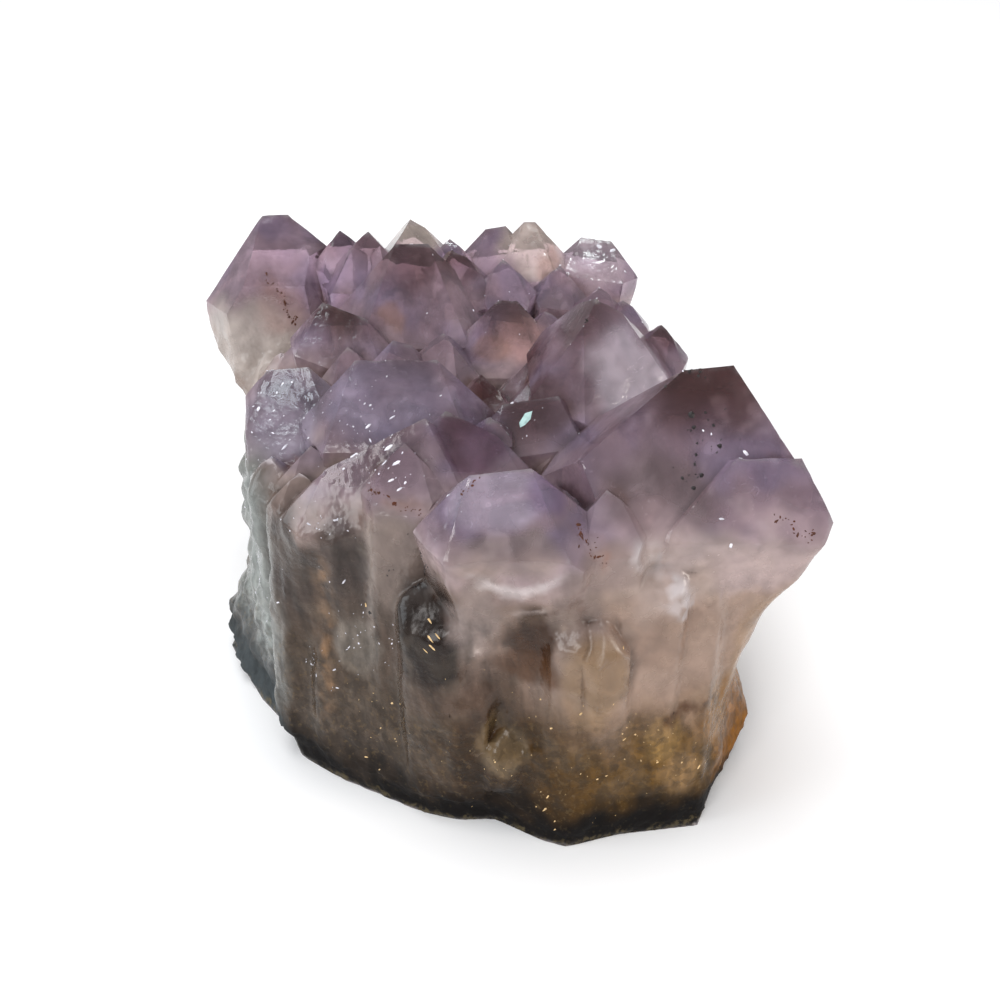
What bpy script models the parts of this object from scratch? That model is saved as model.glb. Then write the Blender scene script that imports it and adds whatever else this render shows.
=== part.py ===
"""Amethyst cluster: quartz columns that grew side by side from a thin dark rind.

The columns widen upwards, press against each other and end in purple six-sided
tips. Everything grew together, so the cluster is one solid. Lengths here are in
millimetres; the last step turns the mesh into metres, with the middle of its
base at the origin. X runs to the right, Y to the back and Z up.
"""
import math
import random

import bmesh
import bpy
from mathutils import Vector

MM = 0.001

# Driving dimensions of the whole cluster
RIND_HEIGHT = 6.5
WAIST_HEIGHT = 16.0
DECK_HEIGHT = 44.0
WALL_ROOT_HEIGHT = 4.0

# Quartz: the outward direction of every tip face leans this far from the crystal's long axis
TIP_FACE_TILT = math.radians(51.8)
COLUMN_TAPER = math.radians(4.5)
MINOR_FACE_SHARE = 0.14

# The small columns on the broken sides, which are only stubs on the right front flank
WALL_COLUMNS = 30
WALL_SEED = 11
STUB_FLANK = (0.30, 0.60)
BARE_FLANK = (0.50, 0.70)

# The blunt knobs on the left side
LUMPS = 9
LUMP_SEED = 4

# The small tips that fill the hollows of the crown
FILLERS = 34
FILLER_SEED = 5

AMETHYST = (0.36, 0.27, 0.40, 1.0)
ROUGHNESS = 0.22

# The rind's outline on the ground, from the left corner round by the front
GROUND_OUTLINE = [
    (-48.5, -2.0), (-44.5, -9.5), (-40.8, -15.6), (-35.0, -22.5), (-32.3, -28.3), (-25.6, -33.0),
    (-12.4, -39.7), (-6.0, -41.4), (-0.8, -41.2), (6.8, -45.5), (9.8, -46.5), (18.3, -44.0),
    (30.4, -42.3), (33.5, -35.0), (38.5, -25.0), (37.0, -8.0), (35.0, 8.0), (31.0, 22.0),
    (24.0, 31.0), (10.0, 36.0), (-6.0, 38.0), (-22.0, 37.5), (-34.0, 33.0), (-42.5, 22.0), (-46.5, 9.0),
]
# The outline at the top of the rind, where the right side has a knob
RIND_OUTLINE = [
    (-48.0, -2.0), (-44.0, -9.0), (-40.0, -15.0), (-35.0, -22.0), (-32.5, -27.5), (-26.0, -32.0),
    (-13.0, -38.5), (-6.5, -40.5), (-1.0, -41.0), (6.5, -44.5), (9.8, -45.5), (18.0, -43.5),
    (30.5, -41.5), (34.5, -34.0), (40.5, -25.5), (38.0, -12.0), (36.0, 6.0), (32.0, 21.0),
    (25.0, 31.0), (11.0, 36.5), (-6.0, 38.5), (-22.0, 38.0), (-35.5, 34.0), (-43.0, 23.0), (-46.5, 9.0),
]
WAIST_OUTLINE = [
    (-44.5, -1.0), (-41.5, -8.0), (-38.5, -14.5), (-34.5, -21.0), (-31.5, -26.5), (-25.5, -30.5),
    (-13.0, -36.0), (-7.0, -38.5), (-1.0, -39.5), (6.5, -43.0), (9.8, -43.5), (18.5, -42.0),
    (29.5, -40.5), (33.0, -34.0), (36.4, -25.0), (36.5, -8.0), (34.0, 6.0), (29.5, 19.0),
    (22.0, 29.0), (9.0, 34.5), (-6.0, 36.5), (-22.0, 36.5), (-36.0, 33.0), (-42.0, 24.0), (-44.0, 10.0),
]
# The outline where the columns end and the tips begin
DECK_OUTLINE = [
    (-40.5, 0.0), (-37.5, -7.0), (-35.5, -13.0), (-33.0, -18.5), (-30.5, -21.5), (-25.0, -24.0),
    (-14.0, -27.5), (-8.0, -30.0), (-3.0, -35.0), (6.0, -38.0), (9.5, -38.2), (18.5, -35.4),
    (31.0, -34.9), (37.5, -33.2), (41.0, -26.0), (38.0, -8.0), (33.0, 4.0), (28.0, 14.0),
    (20.0, 28.0), (9.0, 35.0), (-6.0, 37.0), (-22.0, 38.0), (-37.0, 35.0), (-41.5, 25.0), (-42.5, 11.0),
]


def clear_scene():
    """Remove whatever the file holds."""
    for thing in list(bpy.data.objects):
        bpy.data.objects.remove(thing, do_unlink=True)


def object_from(bm, name, collection):
    """Turn a bmesh into an object of the given collection."""
    mesh = bpy.data.meshes.new(name)
    bmesh.ops.recalc_face_normals(bm, faces=bm.faces)
    bm.to_mesh(mesh)
    bm.free()
    made = bpy.data.objects.new(name, mesh)
    collection.objects.link(made)
    return made


def keep_behind(bm, point, normal):
    """Cut the solid by a plane, keep the part behind it and close the cut with one flat face."""
    cut = bmesh.ops.bisect_plane(
        bm, geom=bm.verts[:] + bm.edges[:] + bm.faces[:], dist=1e-3,
        plane_co=point, plane_no=normal, clear_outer=True)
    rim = [part for part in cut["geom_cut"] if isinstance(part, bmesh.types.BMEdge)]
    if rim:
        bmesh.ops.contextual_create(bm, geom=rim)


def leaning(axis, side, front, tilt, turn):
    """A unit vector that leans by tilt from the axis, towards the compass angle turn about it."""
    across = math.cos(turn) * side + math.sin(turn) * front
    return math.cos(tilt) * axis + math.sin(tilt) * across


def crystal(collection, name, tip, root, radius, turn=-90, ridge=(0, 0, 0), off=(0, 0),
            pulled=None, taper=COLUMN_TAPER, broken=()):
    """One quartz column with its six-faced tip.

    The axis runs from root to tip, and turn is the compass angle of the largest tip face in
    degrees from +X. A ridge stretches the point into an edge from tip to tip + ridge, with a
    large face along each side of it. off moves the column sideways and backwards under its tip. pulled
    says how far each of the six tip faces stands out from the tip: the further, the smaller it
    is. Each entry of broken is a point and a direction: what lies beyond that plane is gone.
    """
    tip = Vector(tip)
    far_tip = tip + Vector(ridge)
    axis = ((tip + far_tip) / 2 - Vector(root)).normalized()
    side = (Vector((1, 0, 0)) - axis.x * axis).normalized()
    front = axis.cross(side)
    first_turn = math.radians(turn)
    if far_tip != tip:
        along = far_tip - tip
        first_turn = math.atan2(along.dot(front), along.dot(side)) - math.pi / 2
    if pulled is None:
        pulled = (0, 0, 0, 0, 0, 0) if far_tip != tip else (0, MINOR_FACE_SHARE * radius) * 3
    sideways = off[0] * side + off[1] * front
    shoulder_drop = radius * math.tan(TIP_FACE_TILT)
    bm = bmesh.new()
    bmesh.ops.create_cube(bm, size=400)
    for step in range(6):
        angle = first_turn + math.radians(60 * step)
        outward = leaning(axis, side, front, math.pi / 2, angle)
        wall = leaning(axis, side, front, math.pi / 2 + taper, angle)
        nearest = max((tip, far_tip), key=outward.dot)
        keep_behind(bm, nearest + sideways + outward * radius - axis * shoulder_drop, wall)
        tip_face = leaning(axis, side, front, TIP_FACE_TILT, angle)
        if far_tip != tip and step % 3 == 0:
            along = (far_tip - tip).normalized()
            tip_face = (tip_face - along * tip_face.dot(along)).normalized()
        nearest = max((tip, far_tip), key=tip_face.dot)
        keep_behind(bm, nearest + tip_face * pulled[step], tip_face)
    for point, normal in broken:
        keep_behind(bm, Vector(point), Vector(normal).normalized())
    keep_behind(bm, Vector(root), -axis)
    return object_from(bm, name, collection)


def rind_and_fused_columns(collection):
    """The dark rind and the mass of columns that stands on it, up to where the tips begin."""
    bm = bmesh.new()
    levels = [
        (GROUND_OUTLINE, 0.0),
        (RIND_OUTLINE, RIND_HEIGHT),
        (WAIST_OUTLINE, WAIST_HEIGHT),
        (DECK_OUTLINE, DECK_HEIGHT),
    ]
    rings = [[bm.verts.new((x, y, height)) for x, y in outline] for outline, height in levels]
    for lower, upper in zip(rings, rings[1:]):
        for index in range(len(lower)):
            following = (index + 1) % len(lower)
            bm.faces.new((lower[index], lower[following], upper[following], upper[index]))
    bm.faces.new(rings[-1])
    bm.faces.new(reversed(rings[0]))
    return object_from(bm, "fused columns", collection)


def along_outline(outline, share):
    """The point a given share of the way round an outline, from its first point."""
    place = share % 1.0 * len(outline)
    index = int(place)
    start = Vector(outline[index])
    end = Vector(outline[(index + 1) % len(outline)])
    return start.lerp(end, place - index)


def on_the_wall(share, height):
    """The point on the side of the fused columns a given share of the way round, at a height."""
    rise = (height - WAIST_HEIGHT) / (DECK_HEIGHT - WAIST_HEIGHT)
    return along_outline(WAIST_OUTLINE, share).lerp(along_outline(DECK_OUTLINE, share), rise)


def front_crystals(grow):
    """The tips along the front edge, from right to left."""
    grow("right giant", tip=(24.7, -21.2, 68), ridge=(6.8, 0.8, 0.3), root=(20, -20, 5), radius=14.8,
         off=(0, 0.6), pulled=(0, 6, 3, 0, 0, 12), broken=[((31.7, -20.5, 68), (0.75, 0.15, 0.49))])
    grow("right outer", tip=(27, -29, 59), ridge=(16, 0, 0), root=(33, -25.5, 5), radius=7.2, taper=0.08,
         broken=[((40.3, -29, 59), (0.8, 0.3, 0.29)), ((33.3, -28.1, 60.5), (-0.75, 0.1, 0.75)),
                 ((46.2, -35.4, 49.6), (0.88, -0.1, -0.42)), ((41, -33, 40), (0.95, 0, -0.3))])
    grow("front broken", tip=(-4, -35.2, 60.5), ridge=(8, 0.4, 0.8), root=(2, -31, 5), radius=8.2,
         off=(1.5, 0), taper=0.13)
    grow("front small", tip=(-7.6, -18.6, 60), ridge=(7.4, -0.8, -3.8), root=(-4, -22, 6), radius=5.4)
    grow("front left", tip=(-10.4, -20.5, 60), ridge=(-14, -3.3, -6.4), root=(-19, -20, 5), radius=6.4)
    grow("left lilac", tip=(-29.5, -0.3, 56.5), ridge=(-6.5, 0, -0.5), root=(-31, -4, 5), radius=8.8,
         off=(2, -1.8), broken=[((-40.5, 0, 46), (-1, -0.15, 0.1))])
    grow("left teal", tip=(-34.3, -13, 48.5), root=(-34, -16, 5), radius=4.2, turn=-110, taper=0.03)
    grow("left step", tip=(-27.8, -14.5, 51.5), root=(-28.3, -17, 5), radius=5.4, turn=-80, taper=0.03)
    grow("left ridge", tip=(-9.2, -7.8, 62), ridge=(-12, 0, 0), root=(-14, -9, 5), radius=8.5)
    grow("grey", tip=(0.5, -12, 57), ridge=(8, 1.5, 0.5), root=(6, -14, 6), radius=5)


def middle_crystals(grow):
    """The tips of the middle."""
    grow("middle right", tip=(14.4, 0.2, 68), root=(13, 1, 5), radius=12, turn=-58, off=(2.5, -2))
    grow("right brown", tip=(25.4, 6.9, 60), root=(20, 6, 5), radius=5, turn=-80)
    grow("left dark", tip=(-28.8, 14.8, 60), ridge=(7, -2, -2), root=(-25, 11, 5), radius=5.8)
    grow("middle purple", tip=(-0.3, 15.5, 60), ridge=(3, 0, 0), root=(0, 13, 5), radius=8)
    grow("centre big", tip=(-17.4, 24, 66), ridge=(5.5, 0.2, 0), root=(-14, 20, 5), radius=11)
    grow("centre side", tip=(-8.1, 26.5, 64), root=(-6, 23, 5), radius=7, turn=-60)


def back_crystals(grow):
    """The tips of the back edge, from left to right."""
    grow("back left", tip=(-41.4, 36.1, 66), ridge=(4.5, 0.3, 0), root=(-34.5, 31, 18), radius=8.2,
         off=(-3.1, 0), taper=-0.1,
         broken=[((-54.2, 36, 46), (-0.75, -0.1, -0.5)), ((-44, 28, 35), (-0.45, -0.4, -0.8))])
    grow("back grey", tip=(-28, 35.5, 63.5), root=(-25, 29, 5), radius=5.5, turn=-80)
    grow("back violet", tip=(-22.6, 31.6, 65), root=(-21, 27, 5), radius=6.6, turn=-100, off=(-2, 0))
    grow("back tan", tip=(-15.6, 35.6, 65.5), root=(-14, 30, 5), radius=7, turn=-60)
    grow("back gap", tip=(-8.8, 35.5, 62), root=(-8, 30, 5), radius=5.8, turn=-85)
    grow("back middle", tip=(-2.6, 38, 62.6), ridge=(3.6, 0, 0.6), root=(-1, 31, 5), radius=6.6)
    grow("back orange", tip=(4.2, 37.5, 64.2), ridge=(2, 0, 0), root=(5, 31, 5), radius=6.8)
    grow("back small", tip=(0.5, 26.9, 62), root=(0, 24, 5), radius=5.6, turn=-80)
    grow("back notch", tip=(10.3, 28.8, 60), root=(9, 25, 5), radius=4.8, turn=-100)
    grow("back right", tip=(14.4, 38.2, 61), ridge=(5.4, -0.6, -0.5), root=(13, 29, 5), radius=4.8)
    grow("right low", tip=(16.7, 21.7, 59.5), root=(15, 20, 5), radius=5, turn=-80)
    grow("right lower", tip=(20.6, 20.5, 57.5), root=(19, 18, 5), radius=5, turn=-60)


def hidden_crystals(grow):
    """The tips of the right and back sides, which face away from the front."""
    grow("right side tall", tip=(36, -9, 54), root=(25, -6, 5), radius=7.5, turn=-20)
    grow("right side low", tip=(38, 1, 45), root=(27, 2, 5), radius=6, turn=10)
    grow("right side short", tip=(33, 11, 48), root=(26, 10, 5), radius=6.5, turn=30)
    grow("right back", tip=(27, 20, 47), root=(22, 18, 5), radius=6, turn=55)
    grow("back corner", tip=(22, 30, 47), root=(17, 25, 5), radius=6, turn=40)
    grow("back low right", tip=(12, 42, 48), root=(9, 33, 5), radius=5.5, turn=80)
    grow("back low middle", tip=(-7, 43, 49), root=(-6, 34, 5), radius=6, turn=100)
    grow("back low left", tip=(-21, 43, 50), root=(-18, 34, 5), radius=6.5, turn=110)
    grow("back far left", tip=(-33, 42, 50), root=(-28, 33, 5), radius=6, turn=140)
    grow("left back", tip=(-40.5, 25, 46), root=(-37, 22, 5), radius=5.8, turn=170)
    grow("left corner", tip=(-39, 35, 44), root=(-34, 29, 5), radius=6.5, turn=150)
    grow("left middle", tip=(-37, 17, 49.5), root=(-33, 16, 5), radius=6, turn=200)


def small_crystals(grow):
    """The small tips in the hollows between the large ones."""
    grow("hollow brown", tip=(-3, 2, 54), ridge=(3, -2, -2), root=(-2, 0, 20), radius=3.4)
    grow("hollow tan", tip=(6, 1, 55), root=(6, 0, 20), radius=4.2, turn=-75)
    grow("hollow clear", tip=(-1.5, -16, 57.5), root=(-1, -17, 20), radius=3.2, turn=-60)
    grow("hollow wedge", tip=(13, -17.5, 55.5), ridge=(3.5, 3, 1), root=(13, -18, 20), radius=2.6)
    grow("slope violet", tip=(-17, 7.5, 57), ridge=(3, 0, -1), root=(-16, 5, 20), radius=6)
    grow("slope blue", tip=(-9, 9, 57.5), root=(-9, 6, 20), radius=6.5, turn=-110)
    grow("slope small", tip=(-24.5, 9, 55), root=(-24, 7, 20), radius=4.5, turn=-80)
    grow("slope right", tip=(7.5, 17, 57.5), root=(7, 14, 20), radius=5.5, turn=-70)
    grow("slope left", tip=(-34, 13, 53), root=(-32, 11, 20), radius=4.8, turn=-100)
    grow("left edge", tip=(-34.5, 7, 51.5), root=(-33, 6, 20), radius=4.2, turn=-120)
    grow("front gap", tip=(9, -29.5, 54), root=(8, -28, 20), radius=4.2, turn=-80)


def filler_crystals(grow):
    """Short tips scattered over the crown, which show only where a hollow is left."""
    dice = random.Random(FILLER_SEED)
    for number in range(FILLERS):
        edge = along_outline(DECK_OUTLINE, dice.random())
        reach = math.sqrt(dice.uniform(0.0, 0.72))
        place = edge * reach
        height = dice.uniform(50, 56) - 4 * reach
        lean = dice.uniform(1.02, 1.12)
        grow(f"filler {number}", tip=(place.x * lean, place.y * lean, height), root=(place.x, place.y, 25),
             radius=dice.uniform(3.2, 5.2), turn=dice.uniform(0, 120), pulled=(0, dice.uniform(0, 1.5)) * 3)


def left_lumps(grow):
    """Blunt knobs on the left side, which grew outwards and were rubbed."""
    dice = random.Random(LUMP_SEED)
    for number in range(LUMPS):
        height = dice.uniform(10, 38)
        place = on_the_wall(0.93 + 0.13 * dice.random(), height)
        radius = dice.uniform(2.5, 4.5)
        grow(f"lump {number}", tip=(place.x - dice.uniform(0.5, 1.5), place.y, height + 2),
             root=(place.x + 9, place.y, height - 7), radius=radius, turn=dice.uniform(0, 60), taper=-0.05)


def front_wall_crystals(grow):
    """The larger columns that show on the broken front."""
    grow("pale column", tip=(-13.2, -22.3, 57), root=(-14.8, -30.4, 4), radius=6.4, turn=-92, taper=0.02)
    grow("smoky crystal", tip=(-8.6, -34.2, 43.8), root=(-8.4, -35.2, 4), radius=6.0, turn=-112,
         pulled=(0, 1.5, 0, 2, 0, 2), taper=0)
    grow("far left column", tip=(-29, -19, 50), root=(-32, -24, 4), radius=4.6, turn=-80, taper=0.01)
    grow("streaked column", tip=(-23, -22, 49), root=(-25.5, -28.5, 4), radius=4.4, turn=-105, taper=0.01)
    grow("second lens", tip=(-20, -22.2, 51), root=(-21.5, -28.8, 4), radius=4.2, turn=-95, taper=0.01)
    grow("amber crystal", tip=(13.7, -40.3, 40.5), root=(14.4, -38.4, 8), radius=4.1, turn=-125, taper=-0.02)
    grow("grey middle", tip=(10.2, -32.5, 51), root=(10.8, -36.2, 5), radius=5, turn=-92, taper=0.02)
    grow("low middle", tip=(-5, -37.5, 30), root=(-5.5, -37.8, 4), radius=4.6, turn=-85, taper=0.01)
    grow("milky column", tip=(14.2, -32, 56), root=(14.8, -36.2, 4), radius=5.8, turn=-80, taper=0.02)
    grow("brown block", tip=(1.5, -33.2, 48), root=(0.6, -35, 4), radius=4.9, turn=-86, taper=0.01)
    grow("narrow prism", tip=(13.2, -36.3, 46.5), root=(12.6, -36.6, 12), radius=3.2, turn=-95, taper=0.02)
    grow("triangle column", tip=(9.5, -38.5, 41), root=(10, -41, 12), radius=3.8, turn=-100, taper=0.02)
    grow("right column", tip=(20, -30.5, 50), root=(20, -36.5, 4), radius=7.5, turn=-84, taper=0.03)
    grow("low blocky crystal", tip=(1.0, -40.0, 19.5), root=(0, -39.5, 8), radius=3.6, turn=-75, taper=-0.03)


def wall_columns(grow):
    """Small columns standing against the sides, from the rind to just under the tips."""
    dice = random.Random(WALL_SEED)
    for number in range(WALL_COLUMNS):
        share = (number + dice.uniform(-0.3, 0.3)) / WALL_COLUMNS
        radius = dice.uniform(2.8, 4.6)
        height = dice.uniform(26, 46)
        stands_out = dice.uniform(0.6, 1.8)
        lean = dice.uniform(-2.5, 2.5)
        if STUB_FLANK[0] < share < STUB_FLANK[1]:
            height = dice.uniform(12, 22)
            stands_out = dice.uniform(0.5, 1.0)
        elif BARE_FLANK[0] < share < BARE_FLANK[1]:
            continue
        foot = along_outline(WAIST_OUTLINE, share)
        top = on_the_wall(share, height)
        inward = 1 - (radius - stands_out) / top.length
        grow(f"wall {number}", tip=(top.x * inward + lean, top.y * inward, height),
             root=(foot.x * inward, foot.y * inward, WALL_ROOT_HEIGHT), radius=radius,
             turn=dice.uniform(0, 60), pulled=(0, dice.uniform(0, 1.2)) * 3, taper=0.01)


def chip(collection, name, at, facing, radius, depth, stretch=(1, 1, 1)):
    """A ball that takes a shallow shell-shaped flake of the given depth out of a face."""
    out = Vector(facing).normalized()
    bm = bmesh.new()
    bmesh.ops.create_icosphere(bm, subdivisions=3, radius=radius)
    bmesh.ops.scale(bm, vec=stretch, verts=bm.verts)
    bmesh.ops.translate(bm, vec=Vector(at) + out * (radius - depth), verts=bm.verts)
    return object_from(bm, name, collection)


def broken_flakes(collection):
    """Shell-shaped flakes that broke out of the front and the left side."""
    chip(collection, "front veil", at=(1.8, -41.5, 46), facing=(0, -1, 0.1), radius=18, depth=1.3,
         stretch=(1.6, 1, 0.6))
    chip(collection, "left front", at=(-24, -29, 34), facing=(-0.3, -1, 0), radius=16, depth=2.2,
         stretch=(0.6, 1, 1.2))
    chip(collection, "left side", at=(-44, 3, 22), facing=(-1, -0.2, 0), radius=12, depth=2.0,
         stretch=(1, 1.7, 0.9))
    chip(collection, "right flank", at=(38.5, -33, 33), facing=(1, -0.6, -0.3), radius=15, depth=1.6)
    chip(collection, "right side", at=(37, 4, 26), facing=(1, 0.1, 0), radius=13, depth=2.2,
         stretch=(1, 1.5, 1))
    chip(collection, "back side", at=(2, 37, 24), facing=(0, 1, 0), radius=16, depth=2.6,
         stretch=(1.4, 1, 0.9))


def combine(body, name, operation, collection):
    """Join a collection to the body, or cut it out, with an exact Boolean."""
    step = body.modifiers.new(name, "BOOLEAN")
    step.operation = operation
    step.solver = "EXACT"
    step.operand_type = "COLLECTION"
    step.collection = collection


def fuse(body, growth, flakes, name):
    """The body with all the growth joined to it and the flakes cut out, as a new object."""
    combine(body, "grown together", "UNION", growth)
    combine(body, "broken out", "DIFFERENCE", flakes)
    ready = body.evaluated_get(bpy.context.evaluated_depsgraph_get())
    mesh = bpy.data.meshes.new_from_object(ready)
    mesh.name = name
    fused = bpy.data.objects.new(name, mesh)
    bpy.context.scene.collection.objects.link(fused)
    return fused


def fill_pores(piece):
    """Make the hollows that the fused crystals closed off solid: only the outer skin stays."""
    bm = bmesh.new()
    bm.from_mesh(piece.data)
    waiting = set(bm.verts)
    skins = []
    while waiting:
        reached = [waiting.pop()]
        for vertex in reached:
            nearby = {edge.other_vert(vertex) for edge in vertex.link_edges} & waiting
            waiting -= nearby
            reached.extend(nearby)
        skins.append(reached)
    outer = max(skins, key=len)
    for skin in skins:
        if skin is not outer:
            bmesh.ops.delete(bm, geom=skin, context="VERTS")
    bm.to_mesh(piece.data)
    bm.free()


def quartz_material():
    """Purple quartz, glassy."""
    material = bpy.data.materials.new("amethyst")
    material.use_nodes = True
    shader = material.node_tree.nodes["Principled BSDF"]
    shader.inputs["Base Color"].default_value = AMETHYST
    shader.inputs["Roughness"].default_value = ROUGHNESS
    shader.inputs["Metallic"].default_value = 0.0
    return material


def stand_at_origin(piece):
    """Move the middle of the base to the origin and turn millimetres into metres."""
    corners = [Vector(corner) for corner in piece.bound_box]
    low = Vector(min(corner[i] for corner in corners) for i in range(3))
    high = Vector(max(corner[i] for corner in corners) for i in range(3))
    shift = Vector(((low.x + high.x) / 2, (low.y + high.y) / 2, low.z))
    for vertex in piece.data.vertices:
        vertex.co = (vertex.co - shift) * MM
    piece.data.update()
    return shift


def build():
    """Grow the cluster and return it with the shift that centred it."""
    clear_scene()
    scene = bpy.context.scene
    growth = bpy.data.collections.new("growth")
    scene.collection.children.link(growth)
    flakes = bpy.data.collections.new("flakes")
    scene.collection.children.link(flakes)
    body = rind_and_fused_columns(scene.collection)

    def grow(name, **shape):
        return crystal(growth, name, **shape)

    front_crystals(grow)
    middle_crystals(grow)
    back_crystals(grow)
    hidden_crystals(grow)
    small_crystals(grow)
    front_wall_crystals(grow)
    wall_columns(grow)
    left_lumps(grow)
    filler_crystals(grow)
    broken_flakes(flakes)
    cluster = fuse(body, growth, flakes, "amethyst_cluster")
    fill_pores(cluster)
    for helper in [body, *growth.objects, *flakes.objects]:
        bpy.data.objects.remove(helper, do_unlink=True)
    bpy.data.collections.remove(growth)
    bpy.data.collections.remove(flakes)
    cluster.data.materials.clear()
    cluster.data.materials.append(quartz_material())
    return cluster, stand_at_origin(cluster)


build()
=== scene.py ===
"""Looks of the amethyst cluster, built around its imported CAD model.

The one solid is copied, cut into small triangles and given the relief that is too fine
for it. Its material is clear, purple quartz at the tips, which turns milky, smoky brown
and at last opaque towards the rind. Places are in millimetres from the point that the
cluster was laid out around, as in the part's own source.
"""
import math

import bmesh
import bpy
import numpy as np
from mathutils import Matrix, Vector, noise
from mathutils.bvhtree import BVHTree


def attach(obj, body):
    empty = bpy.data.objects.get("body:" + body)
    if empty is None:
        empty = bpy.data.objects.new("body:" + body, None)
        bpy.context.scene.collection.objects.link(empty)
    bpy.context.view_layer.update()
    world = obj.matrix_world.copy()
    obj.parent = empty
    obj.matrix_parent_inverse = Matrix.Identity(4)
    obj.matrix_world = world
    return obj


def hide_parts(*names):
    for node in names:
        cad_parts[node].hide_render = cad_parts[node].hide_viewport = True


MM = 0.001
# The row frame's origin, seen from the point that the cluster was laid out around
LAYOUT_SHIFT = Vector((-3.754, 1.074, 0.0))

# The photograph's camera: millimetres, and clipping in metres
CAMERA_AIM = Vector((0.0, 0.0, 31.0))
CAMERA_DISTANCE = 200.0
CAMERA_ELEVATION = math.radians(36.0)
LENS_MM = 43.2
SENSOR_MM = 36.0
CLIP_START = 0.01
CLIP_END = 20

# Cutting into small triangles: lengths in millimetres, angles in radians, and the welding
# distance in metres
LONGEST_EDGE = 1.25
CUTTING_ROUNDS = 6
FLAT_ANGLE = 0.005
CRISP_ABOVE = 47.0
CRISP_ANGLE = math.radians(18.0)
WELD_DISTANCE = 1e-6

# Heights in millimetres. Faces that look up turn from wall to tip between TIPS_BEGIN and
# TIPS_FULL, every wall has ended at WALLS_END, and the relief fades in up to GROUND_FADE.
TIPS_BEGIN = 40.0
TIPS_FULL = 46.0
WALLS_END = 54.0
GROUND_FADE = 1.2
# A face looks up where its normal's height climbs from the first value to the second
LOOKS_UP = (0.25, 0.5)


def place(x, y, z):
    """A point of the layout, in millimetres, as a point of the row frame in metres."""
    return (Vector((x, y, z)) - LAYOUT_SHIFT) * MM


def smoothstep(low, high, value):
    """0 below low, 1 above high and a smooth climb between."""
    share = np.clip((value - low) / (high - low), 0.0, 1.0)
    return share * share * (3.0 - 2.0 * share)


# Cutting the solid into small triangles

def cut_small(bm):
    """Split every long edge until the triangles are small, and keep them well shaped."""
    for _ in range(CUTTING_ROUNDS):
        flat = [edge for edge in bm.edges if edge.calc_face_angle(0.0) < FLAT_ANGLE]
        bmesh.ops.beautify_fill(bm, faces=bm.faces[:], edges=flat)
        long_edges = [edge for edge in bm.edges if edge.calc_length() > LONGEST_EDGE * MM]
        bmesh.ops.subdivide_edges(bm, edges=long_edges, cuts=1)
        bmesh.ops.triangulate(bm, faces=[face for face in bm.faces if len(face.verts) > 3])


def mark_sharp(bm):
    """Keep the edges between the tips' faces crisp. The walls stay soft."""
    for edge in bm.edges:
        high = min(vert.co.z for vert in edge.verts) > CRISP_ABOVE * MM
        edge.smooth = not (high and edge.calc_face_angle(0.0) > CRISP_ANGLE)


def skin_of(node, name):
    """A finely cut copy of a CAD node's mesh, as a new object without the stored normals."""
    bm = bmesh.new()
    bm.from_mesh(node.data)
    bmesh.ops.remove_doubles(bm, verts=bm.verts, dist=WELD_DISTANCE)
    cut_small(bm)
    bmesh.ops.recalc_face_normals(bm, faces=bm.faces)
    for face in bm.faces:
        face.smooth = True
    mark_sharp(bm)
    mesh = bpy.data.meshes.new(name)
    bm.to_mesh(mesh)
    bm.free()
    mesh.attributes.remove(mesh.attributes["custom_normal"])
    piece = bpy.data.objects.new(name, mesh)
    bpy.context.scene.collection.objects.link(piece)
    return piece


# Measures of the skin, one value per vertex

class Skin:
    """The arrays of a mesh: places in layout millimetres, normals and neighbours."""

    def __init__(self, mesh):
        self.mesh = mesh
        count = len(mesh.vertices)
        flat = np.empty(count * 3)
        mesh.vertices.foreach_get("co", flat)
        self.co = flat.reshape(-1, 3) / MM + np.array(LAYOUT_SHIFT)
        mesh.vertices.foreach_get("normal", flat)
        self.normal = flat.reshape(-1, 3).copy()
        ends = np.empty(len(mesh.edges) * 2, np.int64)
        mesh.edges.foreach_get("vertices", ends)
        self.ends = ends.reshape(-1, 2)
        self.degree = np.maximum(np.bincount(self.ends.ravel(), minlength=count), 1)

    def spread(self, values, rounds):
        """Average each value with its neighbours', a number of times."""
        for _ in range(rounds):
            total = np.zeros_like(values)
            np.add.at(total, self.ends[:, 0], values[self.ends[:, 1]])
            np.add.at(total, self.ends[:, 1], values[self.ends[:, 0]])
            share = total / (self.degree if values.ndim == 1 else self.degree[:, None])
            values = 0.5 * values + 0.5 * share
        return values

    def bend(self):
        """How sharply the surface bends at each vertex: above 0 on an edge, below 0 in a groove."""
        apart = self.co[self.ends[:, 1]] - self.co[self.ends[:, 0]]
        length = np.maximum(np.linalg.norm(apart, axis=1), 1e-6)
        turn = self.normal[self.ends[:, 1]] - self.normal[self.ends[:, 0]]
        rate = (apart * turn).sum(axis=1) / length
        total = np.zeros(len(self.co))
        np.add.at(total, self.ends[:, 0], rate)
        np.add.at(total, self.ends[:, 1], rate)
        return total / self.degree

    def keep(self, name, values):
        """Store one value per vertex for the material."""
        layer = self.mesh.attributes.new(name, "FLOAT", "POINT")
        layer.data.foreach_set("value", np.asarray(values, np.float32))

    def write_back(self):
        """Put the moved places back into the mesh."""
        self.mesh.vertices.foreach_set("co", ((self.co - np.array(LAYOUT_SHIFT)) * MM).ravel())
        self.mesh.update()


def waves(points, size, stretch=(1, 1, 1), octaves=2, seed=0.0):
    """Smooth noise from about -1 to 1 at each point, with bumps of the given size in millimetres."""
    scaled = points / (size * np.array(stretch)) + seed
    return np.array([noise.fractal(Vector(p), 1.0, 2.0, octaves) for p in scaled])


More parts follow.
